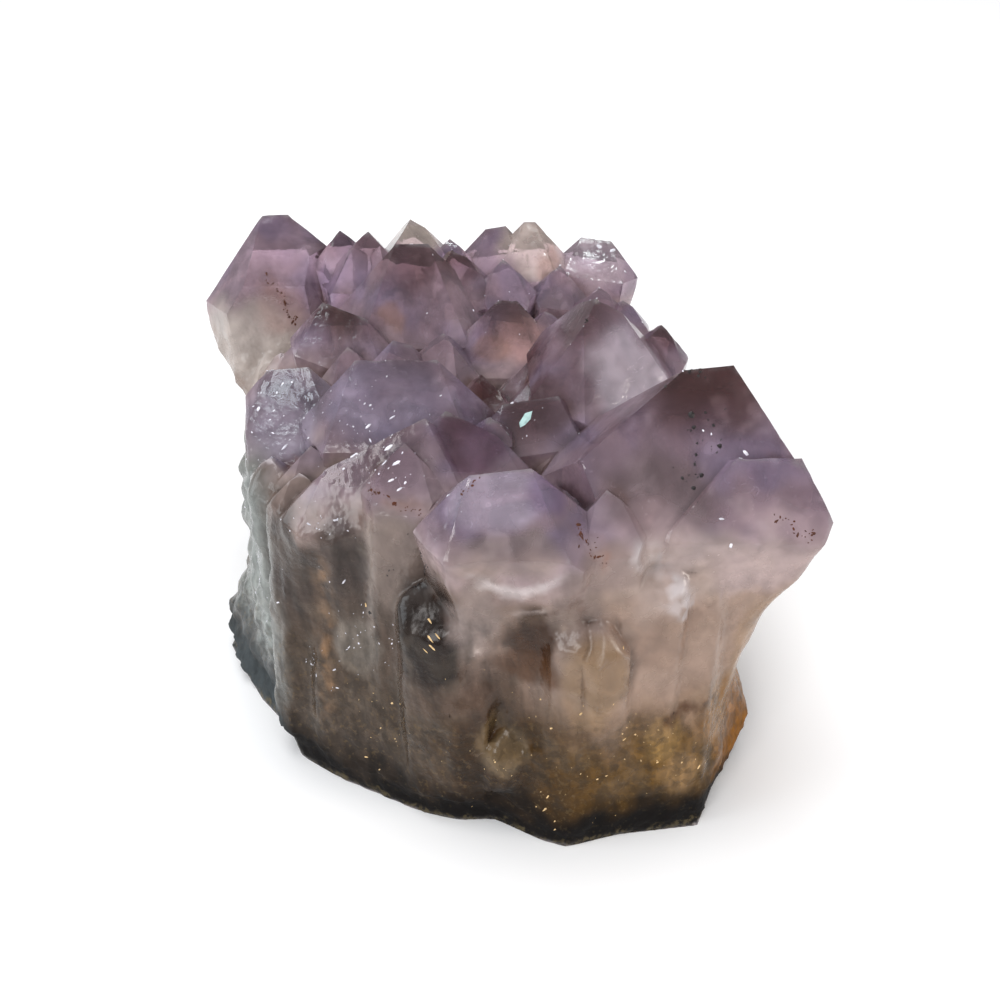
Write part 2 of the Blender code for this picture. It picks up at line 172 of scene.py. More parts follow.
def cells(points, size, stretch=(1, 1, 1), seed=0.0):
    """Distance to the nearest of scattered points, from 0 to about 1."""
    scaled = points / (size * np.array(stretch)) + seed
    return np.array([noise.voronoi(Vector(p))[0][0] for p in scaled])


def off_line(points, start, end):
    """Distance from each point to the straight line between two places."""
    start = np.array(start, float)
    way = np.array(end, float) - start
    share = np.clip((points - start) @ way / (way @ way), 0.0, 1.0)
    return np.linalg.norm(points - start - share[:, None] * way, axis=1)


def near_any(co, spots):
    """The strength of the strongest spot at each point."""
    value = np.zeros(len(co))
    for name, centre, reach, strength in spots:
        away = np.linalg.norm(co - np.array(centre), axis=1)
        value = np.maximum(value, strength * smoothstep(reach, reach * 0.6, away))
    return value


# Relief

# Where the walls keep their crisp edges: name, centre, reach in millimetres and strength
CRISP_PLACES = [
    ("amber crystal", (14, -43.5, 33), 9, 1.0),
    ("smoky crystal", (-9.5, -38, 42), 8, 0.7),
    ("small pale crystal", (0, -42.5, 16), 5, 0.7),
]
# Where the walls are smooth and their colours run softly: name, centre, reach and strength
CALM_PLACES = [
    ("far left milk", (-44, 26, 46), 14, 1.0),
    ("pale column", (-13, -33, 43), 9, 1.0),
    ("front crystal", (1, -41, 49), 10, 0.8),
]
# The milky right of the front: places in millimetres over which it fades in, along each axis
MILKY_ALONG_X = (2, 14)
MILKY_ALONG_Y = (10, -10)
MILKY_ALONG_Z = (16, 28)
# How often places are averaged with their neighbours to round the walls, and the rounded share
SOFTENING_ROUNDS = 13
SHARE_ROUNDS = 3
# Heights over which the rind's relief begins, and places over which the left lumps do, in
# millimetres
RIND_RELIEF = (11, 6)
LUMPS_ALONG_X = (-33, -40)
LUMPS_ALONG_Z = (50, 42)

# Sizes of the relief's patterns in millimetres
FIBRE_SIZE = 2.2
FLAKE_SIZE = 4.5
GRAIN_SIZE = 1.3
LUMP_SIZE = 4.2
SWELL_SIZE = 5.0
CHIP_SIZE = 3.0
# Depths of the relief in millimetres
WALL_FIBRE = 0.22
WALL_FLAKE = 0.5
WALL_GRAIN = 0.10
LEFT_LUMP = 1.6
LEFT_SWELL = 0.3
RIND_SWELL = 0.45
RIND_GRAIN = 0.35
RIND_LUMP = 0.4
TIP_SWELL = 0.05
TIP_GRAIN = 0.015
EDGE_WEAR = 0.10
EDGE_CHIP = 0.55
# The share of the walls' relief that calm places lose, and of their side value at crisp places
CALM_LOSS = 0.65
CRISP_LOSS = 0.7


def tip_share(skin):
    """1 on the faces of the crown that look up, 0 elsewhere."""
    rise = skin.co[:, 2]
    return smoothstep(*LOOKS_UP, skin.normal[:, 2]) * smoothstep(TIPS_BEGIN, TIPS_FULL, rise)


def side_share(skin):
    """1 on the walls below the tips, 0 on the tips and on the ground."""
    rise = skin.co[:, 2]
    below = smoothstep(WALLS_END, TIPS_FULL, rise)
    return (1 - tip_share(skin)) * below * smoothstep(0.0, GROUND_FADE, rise)


def calm_share(co):
    """1 on the milky right of the front and in the calm places, 0 elsewhere."""
    x, y, z = co.T
    milky = smoothstep(*MILKY_ALONG_X, x) * smoothstep(*MILKY_ALONG_Y, y)
    milky *= smoothstep(*MILKY_ALONG_Z, z)
    return np.maximum(milky, near_any(co, CALM_PLACES))


def soften(skin):
    """Round the walls' edges and grooves, which on the real piece melt into each other."""
    share = side_share(skin) * (1 - near_any(skin.co, CRISP_PLACES))
    share = skin.spread(share, SHARE_ROUNDS)
    skin.co = skin.co + share[:, None] * (skin.spread(skin.co, SOFTENING_ROUNDS) - skin.co)


def relief(skin):
    """Move the skin in and out by the relief that is too fine for the solid."""
    co = skin.co
    rise = co[:, 2]
    edge = np.clip(skin.spread(skin.bend(), 1), -1.0, 1.0)
    ground = smoothstep(0.0, GROUND_FADE, rise)
    side = side_share(skin)
    rind = smoothstep(*RIND_RELIEF, rise + 2.0 * waves(co, 6.0))
    left = smoothstep(*LUMPS_ALONG_X, co[:, 0]) * smoothstep(*LUMPS_ALONG_Z, rise)
    calm = calm_share(co)
    fibres = waves(co, FIBRE_SIZE, stretch=(1, 1, 7), seed=3.1)
    flakes = cells(co, FLAKE_SIZE, stretch=(1, 1, 1.6), seed=7.7)
    grain = waves(co, GRAIN_SIZE, octaves=3, seed=5.3)
    lumps = cells(co, LUMP_SIZE, seed=1.9)
    swell = waves(co, SWELL_SIZE, seed=9.4)
    out = side * (1 - rind) * (1 - CALM_LOSS * calm)
    out *= WALL_FIBRE * fibres + WALL_FLAKE * (flakes - 0.5) + WALL_GRAIN * grain
    out += side * left * (LEFT_LUMP * (0.45 - lumps) + LEFT_SWELL * swell)
    out += ground * rind * (RIND_SWELL * swell + RIND_GRAIN * grain + RIND_LUMP * (0.5 - lumps))
    out += tip_share(skin) * (TIP_SWELL * swell + TIP_GRAIN * grain)
    chipped = smoothstep(0.1, 0.6, waves(co, CHIP_SIZE, octaves=3, seed=12.0))
    out -= np.clip(edge, 0, 1) * (EDGE_WEAR + EDGE_CHIP * chipped) * ground
    skin.co = co + skin.normal * out[:, None]
    crisp = near_any(skin.co, CRISP_PLACES)
    skin.keep("edge", np.clip(edge * 2.0, 0, 1))
    skin.keep("groove", np.clip(-skin.spread(skin.bend(), 3) * 3.0, 0, 1))
    skin.keep("side", side * (1 - CRISP_LOSS * crisp))
    skin.keep("crisp", crisp)
    skin.keep("rind", rind * ground)
    skin.keep("calm", calm)


# Colours, as the 0 to 255 values that a picture of them would have

RIND = (13, 6, 2)
LOW_LEFT = (70, 59, 50)
LOW_MIDDLE = (51, 34, 13)
LOW_RIGHT = (92, 66, 25)
HIGH_LEFT = (74, 62, 55)
HIGH_MIDDLE = (126, 107, 97)
HIGH_RIGHT = (162, 138, 124)
TIP_FOOT = (178, 157, 158)
LEFT_TIP_FOOT = (148, 130, 124)
LILAC = (182, 154, 170)
VIOLET = (166, 148, 184)
MAROON = (116, 76, 76)
# TEAL_SHEEN is the far left wall's grey with a painted cool reflection of side light in it
TEAL_SHEEN = (136, 141, 138)
BLUE_BLACK = (63, 68, 70)

# Places in millimetres over which the front and its zones begin, and how much of the zones'
# colours the back takes
FRONT_ALONG_Y = (20, -10)
RIGHT_ALONG_X = (-2, 22)
MIDDLE_ALONG_X = (-22, -2)
COOL_ALONG_X = (-32, -38)
COOL_ALONG_Z = (50, 42)
RIGHT_ON_BACK = 0.45
MIDDLE_ON_BACK = 0.6
# Heights in millimetres over which one zone's colour turns into the next one's
RIND_FROM_LOW = (12, 3)
HIGH_FROM_LOW = (18, 36)
FOOT_FROM_HIGH = (42, 50)
TIP_FROM_FOOT = (47, 57)
BLUE_BLACK_FROM_TEAL = (18, 8)
# Heights in millimetres over which the rind turns opaque and the low walls' grains fade in
OPAQUE_RIND = (9, 4)
LOW_GRAINS = (27, 17)
# How much light the quartz lets through: anywhere, and more from the walls' top, from the tips'
# feet and in dark tips, each over its heights. Crisp places let through at least the last.
CLEAR_ANYWHERE = 0.08
CLEAR_WALLS = 0.14
CLEAR_WALLS_FROM = (24, 38)
CLEAR_TIPS = 0.5
CLEAR_TIPS_FROM = (46, 56)
CLEAR_DARK = 0.1
CLEAR_CRISP = 0.3
# Borders wander by smooth noise: its size and step in millimetres, and its seeds. Heights
# wander by the same noise, in millimetres. Bands fray more finely.
WANDER_SIZE = 6.0
WANDER_STEP = 1.8
WANDER_SEEDS = (21.0, 34.0, 47.0)
HEIGHT_WANDER = (3.5, 1.5)
FRAY_SIZE = 2.5
FRAY_STEP = 0.8
FRAY_SEEDS = (71.0, 82.0, 93.0)

# Places of their own colour, and a few of painted light that are marked: name, centre, reach in
# millimetres, strength and colour
PATCHES = [
    ("left lens", (-30.5, -25, 38), (3.5, 6, 10), 0.9, (62, 53, 49)),
    ("second lens", (-21.5, -28, 41), (4, 6, 7), 0.85, (70, 60, 56)),
    ("pale column", (-15, -31, 43), (5, 6, 8), 0.85, (136, 121, 114)),
    # Painted highlight: the cool patch lightens the left wall where its small glints gather
    ("painted glint patch", (-21, -30, 26), (4, 6, 5), 0.6, (126, 118, 110)),
    ("smoky crystal", (-10.5, -38.5, 36.5), (6.8, 7, 9.5), 0.95, (24, 13, 5)),
    ("brown block", (4.5, -40, 37), (4.2, 6, 6.5), 0.95, (58, 34, 14)),
    ("red brown foot", (4.5, -40, 31.3), (6, 6, 2.8), 0.8, (84, 58, 40)),
    ("milky column", (-3.5, -39.5, 40), (3.5, 6, 8), 0.7, (146, 131, 126)),
    ("grey middle", (10.5, -38.5, 41), (3.5, 6, 8), 0.7, (124, 109, 104)),
    ("amber crystal", (13.5, -45, 31), (5, 5, 8.5), 0.85, (146, 118, 90)),
    ("orange haze", (29, -35, 43), (3.2, 6, 3.5), 0.5, (178, 148, 124)),
    ("right haze", (27, -38, 46), (13, 6, 7), 0.7, (178, 161, 155)),
    ("milky right low", (22.7, -39.5, 35), (6, 5, 5), 0.6, (144, 120, 106)),
    ("left ridge", (-17, -11, 57), (9, 8, 6), 0.6, (184, 174, 206)),
    ("middle purple, warm", (4.5, 11, 56), (5, 5, 5), 0.6, (240, 186, 176)),
    ("haze under the giant", (13.5, -37, 47), (5, 6, 3.5), 0.7, (150, 130, 124)),
    ("bright prism", (36, -35, 45), (8, 7, 5), 0.8, (184, 163, 161)),
    ("right edge", (38, -31, 30), (5, 9, 10), 0.6, (154, 127, 102)),
    ("knob", (36.5, -29, 11), (8, 10, 8), 0.95, (130, 84, 24)),
    ("knob core", (33.5, -33, 12), (3, 5, 5), 0.6, (92, 62, 20)),
    ("knob inside", (33.5, -35, 18), (6, 6, 7), 0.85, (126, 88, 38)),
    ("yellow patch", (23.2, -41, 18.5), (3, 5, 4), 0.5, (150, 118, 70)),
    ("pale block", (26.8, -42, 11.5), (3.2, 5, 4), 0.55, (150, 118, 80)),
    ("small pale crystal", (0, -42.5, 16), (3, 5, 5), 0.7, (122, 102, 76)),
    ("far left milk", (-44, 26, 47), (10, 10, 8), 0.9, (184, 173, 166)),
    ("far left rusty", (-38, 27, 53), (5, 5, 5), 0.5, (184, 150, 142)),
    ("left lilac", (-31, -6, 50), (8, 9, 7), 0.7, (143, 134, 155)),
    ("front small", (-4, -20.5, 57), (5.5, 4, 5), 0.9, (142, 104, 130)),
    ("front crystal top", (0, -38, 58.5), (8, 5, 4), 0.8, (234, 216, 240)),
    ("front crystal edge", (6, -36.5, 58), (3.5, 4, 4), 0.6, (142, 116, 164)),
    ("front crystal middle", (1, -41, 51), (8, 5, 3.5), 0.6, (160, 141, 130)),
    ("right giant low", (21, -31, 54), (9, 7, 6), 0.8, (153, 130, 133)),
    # Painted light: the flank of the middle right tip that faces the right is made near white
    ("middle right flank", (19.5, -6, 58), (7, 7, 8), 1.0, (255, 240, 255)),
    ("back tan", (-15.6, 35.6, 65), (7, 7, 7), 0.95, (246, 230, 218)),
    ("back orange", (6, 36, 60), (6, 7, 6), 0.9, (246, 226, 214)),
    ("back right", (17, 37, 57), (7, 7, 6), 0.7, (204, 186, 194)),
    # Painted glow: warm light passing through the back tips, painted as three orange patches
    ("first glow", (-17.3, 15.4, 56.4), (2.4, 3, 2.4), 0.5, (188, 140, 116)),
    ("second glow", (-1.6, 10.6, 54.4), (2.6, 3, 2.4), 0.5, (186, 140, 118)),
    ("third glow", (7.9, 32.5, 58.8), (2.4, 3, 2.4), 0.5, (200, 150, 126)),
]
# Soft bands: name, start, end, width in millimetres, strength and colour
BANDS = [
    ("tan seam", (-26.6, -30, 14), (-25.6, -26, 47), 1.3, 0.65, (146, 112, 82)),
    ("tan seam, wide", (-26.6, -30, 12), (-25.6, -26, 47), 2.8, 0.4, (124, 98, 76)),
    ("dark rim left", (-32.5, -24, 18), (-31.5, -21, 48), 1.6, 0.6, (46, 38, 34)),
    ("light seam right of the lens", (-18.4, -30.5, 28), (-18.0, -28.5, 50), 1.2, 0.55, (156, 144, 136)),
    ("low light fibre", (-23, -31, 12), (-22.5, -29.5, 26), 1.4, 0.45, (126, 114, 102)),
    ("low light fibre, right", (-13, -37, 10), (-12, -36, 28), 1.5, 0.4, (116, 102, 86)),
    ("dark fibre", (-19, -33, 8), (-18, -32, 26), 1.6, 0.55, (44, 36, 30)),
    ("dark fibre, right", (-6.5, -40, 9), (-6.5, -39, 26), 1.6, 0.45, (50, 38, 26)),
    ("left crystal edge", (-10.6, -26.3, 47.8), (-3.5, -39.3, 33.1), 1.5, 0.75, (200, 182, 174)),
    ("cool veil", (19.5, -37, 48.5), (26.3, -37.5, 40.5), 3.0, 0.8, (206, 198, 200)),
    ("cool veil upright", (26, -37, 47), (26.3, -37.6, 39.5), 1.8, 0.7, (206, 198, 200)),
    ("block, right edge", (8.6, -41, 40), (8.8, -41.2, 31.5), 0.9, 0.6, (176, 156, 142)),
    ("block, top edge", (2.0, -40.5, 41.8), (7.5, -40.8, 42.0), 0.9, 0.5, (196, 180, 174)),
    ("gap left of the block", (-1.8, -41, 38), (-1.6, -41, 31), 0.9, 0.5, (70, 52, 40)),
    ("amber blade", (17.0, -43.9, 34), (18.0, -43.4, 28.5), 1.3, 0.85, (58, 36, 20)),
    ("amber edge", (10.2, -43.2, 38), (13.4, -41.5, 43), 1.0, 0.6, (190, 160, 134)),
    ("dark streak", (24.5, -40.3, 21), (30.5, -39.3, 23.6), 1.8, 0.8, (64, 36, 14)),
    ("right flank line", (9.5, -39, 46), (10.5, -41.5, 30), 1.0, 0.5, (184, 168, 158)),
    ("front left rust", (-19.0, -27.0, 52.4), (-11.2, -28.8, 50.8), 1.3, 0.35, (150, 104, 72)),
    ("front right rust", (10.4, -37.0, 53.8), (13.6, -38.1, 49.0), 1.8, 0.4, (150, 100, 74)),
    ("far left rust", (-40.4, 28.4, 58.8), (-36.0, 24.7, 51.4), 1.8, 0.4, (150, 106, 84)),
]
# No grain sits lower than this, so that none reaches the ground
GRAIN_FLOOR = 2.0
# Grains that sit in the skin, in lines: name, start, end, how far they stray in millimetres
# and how many
RUST_SEAMS = [
    ("far left suture", (-40.4, 28.4, 58.8), (-37.2, 26.7, 54.4), 0.5, 26),
    ("far left suture foot", (-37.2, 26.7, 54.4), (-35.0, 22.5, 50.5), 0.5, 22),
    ("right shoulder", (36.2, -33.7, 52.3), (42.6, -35.3, 49.8), 0.9, 26),
    ("front crystal", (-5.4, -36.3, 59.0), (-2.2, -34.8, 60.8), 0.4, 16),
    ("front right", (10.4, -37.0, 53.8), (13.6, -38.1, 49.0), 0.8, 34),
    ("front left", (-19.0, -27.0, 52.4), (-11.2, -28.8, 50.8), 0.6, 30),
]
SPECK_LINES = [
    ("pale column, upper", (-13.6, -33.5, 49.5), (-10.6, -35.5, 45.5), 0.9, 24),
    ("pale column, lower", (-10.6, -35.5, 45.5), (-15.4, -32.5, 41.0), 0.8, 22),
    ("right giant ridge", (18, -24, 67), (24, -22, 68), 0.8, 8),
]
# Single grains: centre and radius in millimetres
SPECKS = [
    ((25.5, -21.3, 67.8), 0.3), ((26.9, -21.3, 67.7), 0.22), ((25.6, -24.7, 63.1), 0.5),
    ((26.0, -25.7, 61.8), 0.35), ((28.7, -25.4, 61.9), 0.25), ((29.5, -27.0, 59.6), 0.38),
    ((27.0, -29.4, 56.5), 0.38), ((24.5, -29.8, 56.3), 0.25), ((26.0, -30.5, 55.2), 0.32),
    ((-18.7, -30.0, 32.7), 0.4), ((26.5, -27.2, 60.2), 0.22), ((27.6, -24.6, 63.4), 0.2),
]
# GLINTS are pale grains that stand for glints: painted highlights
GLINTS = [
    ((33.1, -27.3, 58.7), 0.42), ((32.4, -27.8, 58.0), 0.28), ((29.6, -33.6, 52.3), 0.26),
    ((30.9, -35.5, 49.2), 0.38), ((27.3, -26.0, 61.4), 0.15), ((28.4, -26.1, 60.9), 0.16),
    ((17.6, 36.0, 61.0), 0.5), ((20.0, 35.6, 60.2), 0.4), ((23.2, 34.0, 57.0), 0.3),
]
# Long grains: one end, the other end and half their width in millimetres
# GILT_DASHES are gold grains that stand for warm glints: painted highlights
GILT_DASHES = [
    ((-10.1, -38.2, 39.0), (-9.4, -38.7, 38.2), 0.16),
    ((-10.0, -40.0, 37.2), (-9.1, -40.4, 36.2), 0.15),
    ((-9.8, -40.4, 36.1), (-8.8, -40.8, 35.0), 0.15),
    ((-9.0, -40.6, 37.9), (-8.2, -41.0, 37.0), 0.12),
    ((-10.6, -40.2, 34.9), (-9.9, -40.5, 34.2), 0.12),
    ((-19.3, -29.0, 33.7), (-18.9, -29.2, 33.1), 0.2),
]
# GLINT_DASHES are pale grains that stand for glints: painted highlights
GLINT_DASHES = [
    ((-16.0, -22.6, 56.0), (-14.7, -22.4, 56.9), 0.26),
    ((-16.9, -24.1, 54.6), (-15.7, -23.9, 55.3), 0.18),
    ((-15.0, -24.6, 54.7), (-13.7, -24.2, 55.4), 0.28),
    ((-12.3, -23.2, 55.3), (-11.3, -22.7, 56.2), 0.24),
    ((-21.0, -23.2, 55.0), (-20.1, -22.9, 55.7), 0.16),
    ((-15.6, -26.4, 53.2), (-14.5, -26.1, 53.7), 0.22),
    ((-14.2, -27.2, 52.3), (-13.5, -27.0, 52.8), 0.15),
    ((-19.7, -14.3, 54.2), (-18.8, -13.9, 54.8), 0.24),
    ((-16.2, -13.4, 55.2), (-15.2, -13.0, 55.8), 0.16),
    ((-37.6, -4.5, 51.0), (-36.8, -4.1, 51.8), 0.30),
    ((-33.4, -8.7, 46.8), (-32.5, -8.3, 47.6), 0.26),
    ((-22.9, -28.7, 36.6), (-22.0, -28.5, 37.6), 0.18),
]
# CYAN_DASHES is one cyan-white grain that stands for a light's flash off a facet: a painted reflection
CYAN_DASHES = [
    ((2.6, -13.6, 53.4), (4.6, -12.0, 55.6), 0.7),
]
# Clouds of grains: name, centre, reach in millimetres and how many
# GLINT_CLOUDS and GILT_CLOUDS strew pale and gold grains that stand for glints: painted highlights
GLINT_CLOUDS = [
    ("left flank", (-33, -6, 51), 9, 70),
    ("left ridge foot", (-20, -13, 55), 8, 40),
    ("front left", (-16, -24, 55), 5, 26),
    ("hollow", (3, -15, 56), 5, 16),
    ("front crystal left", (-8, -33, 56), 5, 12),
    ("left wall", (-20, -30, 28), 6, 34),
    ("left wall, low", (-26, -27, 20), 5, 24),
    ("left wall, high", (-25, -27, 46), 5, 22),
    ("far left lumps", (-40, -18, 30), 10, 46),
    ("tips", (0, 5, 58), 30, 40),
    ("back tips", (0, 28, 60), 22, 30),
    ("back wall", (0, 47, 25), 30, 60),
    ("right wall, far", (47, 5, 25), 30, 50),
]
GILT_CLOUDS = [
    ("low wall", (4, -44, 14), 16, 70),
    ("right wall", (24, -39, 15), 10, 40),
    ("left wall foot", (-18, -33, 14), 9, 26),
    ("back wall foot", (0, 46, 14), 26, 70),
    ("far right wall foot", (44, 5, 14), 24, 60),
]
SPECK_CLOUDS = [
    ("right giant top", (26, -22, 68), 4, 12),
    ("right giant face", (27, -26, 61), 5, 14),
    ("right giant low", (25, -31, 56), 3, 8),
    ("middle right apex", (12, -1, 66), 5, 8),
    ("left flank", (-30, -10, 50), 3, 4),
]
# The white arc of a healed crack low on the front crystal, in millimetres: part of a ring with
# soft edges, which ends between two heights
VEIL_CENTRE = (2.5, -40.0, 53.0)
VEIL_RADIUS = 7.6
VEIL_EDGES = (1.2, 0.1)
VEIL_ENDS = (50, 46)
VEIL_SHARE = 0.6
VEIL = (226, 216, 216)
# Tips that darken to maroon, and a few places darkened by painted shade that are marked: name, centre,
# reach in millimetres and strength
DARK_TIPS = [
    ("right giant", (28.0, -21.0, 69.0), 14.0, 1.0),
    ("right giant ridge", (18.0, -24.0, 66.0), 8.0, 0.5),
    ("middle right", (11.0, -1.0, 68.0), 9.5, 0.75),
    # Painted shade: the face of the middle right tip that turns to the left is darkened
    ("middle right, left face", (10.5, -6.5, 61.0), 6.0, 0.35),
    ("middle purple", (1.5, 15.0, 60.5), 8.0, 0.7),
    ("left dark", (-25.5, 13.5, 60.5), 8.0, 1.0),
    ("centre big", (-14.5, 24.0, 66.5), 12.0, 0.8),
    ("centre side", (-8.0, 26.0, 64.0), 8.0, 0.85),
    ("back violet", (-22.6, 31.6, 65.0), 8.0, 0.5),
    ("back grey", (-28.0, 35.5, 63.5), 7.0, 0.5),
    ("far left top", (-38.0, 34.0, 68.0), 9.0, 0.12),
    ("front small", (-7.0, -19.0, 60.0), 5.0, 0.5),
    # Painted shade: the hollow between the tips is darkened to maroon
    ("hollow brown", (-1.0, 1.0, 54.0), 7.0, 1.0),
    ("hollow tan", (6.0, 1.0, 55.0), 7.0, 0.9),
    ("grey", (4.0, -11.0, 57.0), 9.0, 0.7),
    ("right brown", (25.4, 6.9, 60.0), 7.0, 0.8),
    ("left ridge", (-14.0, -7.8, 62.0), 9.0, 0.35),
    ("front left", (-17.0, -21.5, 58.0), 8.0, 0.35),
]


def linear(colour):
    """A picture's 0 to 255 colour as the light that it stands for."""
    return (np.array(colour, float) / 255.0) ** 2.2


def between(share, first, second):
    """A colour per vertex between two, each one colour or one per vertex."""
    return first + share[:, None] * (np.asarray(second) - first)


def wobbles(co, size, seeds):
    """Three smooth noises per point. Added to the places, they make borders wander."""
    return np.stack([waves(co, size, seed=seed) for seed in seeds], axis=1)


def zones(co, wobble, wavy):
    """The colours of the rind, the walls, the tips' feet and the tips."""
    x, y, z = co.T
    front = smoothstep(*FRONT_ALONG_Y, y)
    right = smoothstep(*RIGHT_ALONG_X, x) * front + RIGHT_ON_BACK * (1 - front)
    middle = smoothstep(*MIDDLE_ALONG_X, x) * front + MIDDLE_ON_BACK * (1 - front)
    low = between(middle, linear(LOW_LEFT), linear(LOW_MIDDLE))
    low = between(right, low, linear(LOW_RIGHT))
    high = between(middle, linear(HIGH_LEFT), linear(HIGH_MIDDLE))
    high = between(right, high, linear(HIGH_RIGHT))
    colour = between(smoothstep(*RIND_FROM_LOW, wavy), low, linear(RIND))
    colour = between(smoothstep(*HIGH_FROM_LOW, wavy + 4 * right), colour, high)
    foot = between(middle, linear(LEFT_TIP_FOOT), linear(TIP_FOOT))
    colour = between(smoothstep(*FOOT_FROM_HIGH, wavy), colour, foot)
    violet = smoothstep(-0.1, 0.5, waves(co, 8.0, seed=60.0))
    tips = between(0.6 * violet, linear(LILAC), linear(VIOLET))
    colour = between(smoothstep(*TIP_FROM_FOOT, wavy), colour, tips)
    # The far left wall takes a cool tone: its grey with a painted cool reflection, bluer and darker
    # lower down
    left = smoothstep(*COOL_ALONG_X, x + 2 * wobble[:, 2]) * smoothstep(*COOL_ALONG_Z, z) * front
    cool = between(smoothstep(*BLUE_BLACK_FROM_TEAL, wavy), linear(TEAL_SHEEN), linear(BLUE_BLACK))
    return between(0.85 * left, colour, cool)


def with_patches(colour, swirled):
    """The colours with every patch laid over them."""
    for name, centre, reach, strength, tone in PATCHES:
        away = np.linalg.norm((swirled - np.array(centre)) / np.array(reach), axis=1)
        colour = between(strength * smoothstep(1.25, 0.7, away), colour, linear(tone))
    return colour


def with_bands(co, colour):
    """The colours with every band and the white arc laid over them, broken up by noise."""
    frayed = co + FRAY_STEP * wobbles(co, FRAY_SIZE, FRAY_SEEDS)
    broken = smoothstep(-0.45, 0.25, waves(co, 2.6, octaves=3, seed=104.0))
    for name, start, end, width, strength, tone in BANDS:
        line = smoothstep(width, 0.2 * width, off_line(frayed, start, end)) * broken
        colour = between(strength * line, colour, linear(tone))
    ring = np.linalg.norm(frayed - np.array(VEIL_CENTRE), axis=1)
    veil = smoothstep(*VEIL_EDGES, abs(ring - VEIL_RADIUS)) * smoothstep(*VEIL_ENDS, co[:, 2])
    return between(VEIL_SHARE * (veil * broken), colour, linear(VEIL))


def darkness(swirled):
    """How far each point belongs to a dark tip."""
    dark = np.zeros(len(swirled))
    for name, centre, reach, strength in DARK_TIPS:
        away = np.linalg.norm(swirled - np.array(centre), axis=1)
        dark = np.maximum(dark, strength * smoothstep(reach, reach * 0.3, away))
    return dark


def paint(skin):
    """Store each vertex's colour, and how clear the quartz is there."""
    co = skin.co
    wobble = wobbles(co, WANDER_SIZE, WANDER_SEEDS)
    swirled = co + WANDER_STEP * wobble
    wavy = co[:, 2] + HEIGHT_WANDER[0] * wobble[:, 0] + HEIGHT_WANDER[1] * wobble[:, 1]
    dark = darkness(swirled)
    colour = with_patches(zones(co, wobble, wavy), swirled)
    colour = between(dark, with_bands(co, colour), linear(MAROON))
    layer = skin.mesh.attributes.new("tint", "FLOAT_VECTOR", "POINT")
    layer.data.foreach_set("vector", colour.astype(np.float32).ravel())
    rind = smoothstep(*OPAQUE_RIND, wavy)
    clear = CLEAR_ANYWHERE + CLEAR_WALLS * smoothstep(*CLEAR_WALLS_FROM, wavy)
    clear += CLEAR_TIPS * smoothstep(*CLEAR_TIPS_FROM, wavy) + CLEAR_DARK * dark
    clear = np.maximum(clear, CLEAR_CRISP * near_any(co, CRISP_PLACES))
    skin.keep("clear", clear * (1 - rind))
    skin.keep("low", smoothstep(*LOW_GRAINS, wavy) * (1 - rind))
    skin.keep("swirl", waves(co + 7.0 * wobble, 4.5, octaves=3, seed=15.0))
    skin.keep("milk", smoothstep(0.0, 0.55, waves(co, 6.0, octaves=3, seed=26.0)))
    skin.keep("stained", smoothstep(0.05, 0.35, waves(co, 6.0, seed=37.0)))


# Material

QUARTZ_IOR = 1.544
QUARTZ_SPECULAR = 0.16
# What the quartz takes from light inside it: the colour that stays, and a density per metre
ABSORPTION_COLOUR = (0.80, 0.66, 0.74)
ABSORPTION_DENSITY = 25.0
# Roughness: tips and walls between two values each, and the rind
TIP_ROUGHNESS = (0.07, 0.15)
WALL_ROUGHNESS = (0.17, 0.32)
RIND_ROUGHNESS = 0.7
# Heights of the finest ripple in millimetres
TIP_RIPPLE = 0.035
WALL_RIPPLE = 0.15

# Sizes of the patterns in millimetres
CLOUD_SIZE = 3.0
GRIT_SIZE = 0.8
STREAK_SIZE = 1.4
WISP_SIZE = 4.0
CELL_SIZE = 1.2
RIPPLE_SIZE = 1.1
# How streaks and wisps lie: turned by radians, then drawn out along the axes that are below 1
STREAK_TURN = (0.1, 0.15, 0.0)
STREAK_DRAWN = (1.0, 1.0, 0.22)
WISP_TURN = (0.5, 0.35, 0.8)
WISP_DRAWN = (1.0, 0.35, 0.8)
# The rusty crust ends between two heights, which the clouds move up and down by up to half of
# CRUST_WANDER, in millimetres
CRUST_ENDS = (0.2, 1.2)
CRUST_WANDER = 6.0

# Colours, as linear light, that are laid over the painted ones
# FROST_AND_HIGHLIGHT is the pale frost of the wisps inside, and also the painted highlight along the
# tips' edges
FROST_AND_HIGHLIGHT = (0.66, 0.60, 0.62)
WARM_FROST = (0.44, 0.33, 0.20)
GOLD = (0.20, 0.125, 0.05)
SHADE = (0.016, 0.010, 0.005)
IRON = (0.20, 0.075, 0.025)
CRUST = (0.13, 0.10, 0.05)
# How much of each is laid over, from 0 to 1
HAIR_SHARE = 0.4
HAZE_SHARE = 0.5
MILK_SHARE = 0.3
WISPS_ON_TIPS = 0.24
WISPS_ON_WALLS = 0.14
WARM_ON_WALLS = 0.8
GOLD_SHARE = 0.22
SHADE_SHARE = 0.45
CRUST_SHARE = 0.5
FLECK_SHARE = 0.10
IRON_SHARE = 0.5
# The share of the painted highlight along the tips' edges
EDGE_HIGHLIGHT_SHARE = 0.7
# How far patterns darken and brighten the colour below them. The clouds on the tips are drawn
# together into the first range before that.
TIP_CLOUDS = (0.385, 0.615)
STRONG_MOTTLE = (0.53, 1.47)
SOFT_MOTTLE = (0.87, 1.13)
CELL_BRIGHTNESS = (0.80, 1.24)
# How far painted shade darkens the deepest grooves
DEEPEST_GROOVE_SHADE = 0.62


